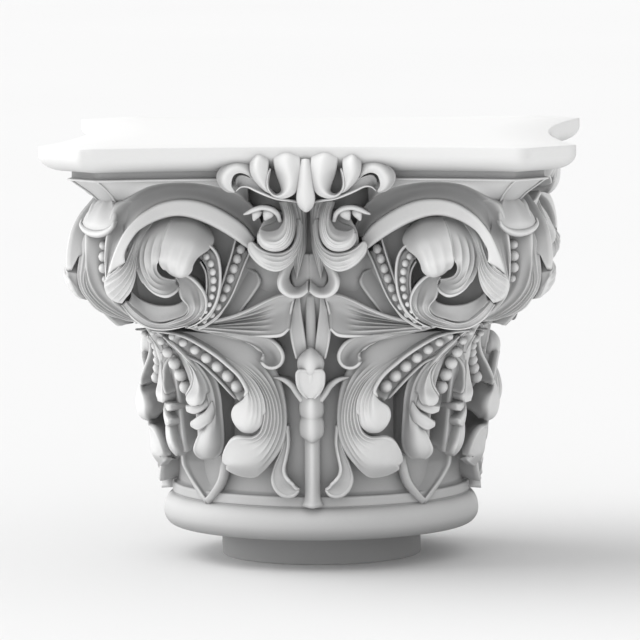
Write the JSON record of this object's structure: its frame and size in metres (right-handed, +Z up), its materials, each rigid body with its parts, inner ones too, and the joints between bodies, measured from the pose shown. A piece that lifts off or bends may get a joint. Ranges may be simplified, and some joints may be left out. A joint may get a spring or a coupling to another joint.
{
  "type": "column capital",
  "caption": "Carved stone column capital: concave-sided abacus over corner scroll roundels and acanthus leaves, on a turned torus with a round locating spigot below.",
  "frame": {"origin": "centre of the spigot's underside, on the column's axis", "axes": "+Z up the column's axis to the abacus; X and Y square to the abacus's sides, with -Y towards the viewer of the picture"},
  "size_m": [0.5, 0.5, 0.4086],
  "materials": {
    "pale_stone": "matte"
  },
  "bodies": {
    "root": {"capital": "pale_stone"}
  },
  "joints": []
}
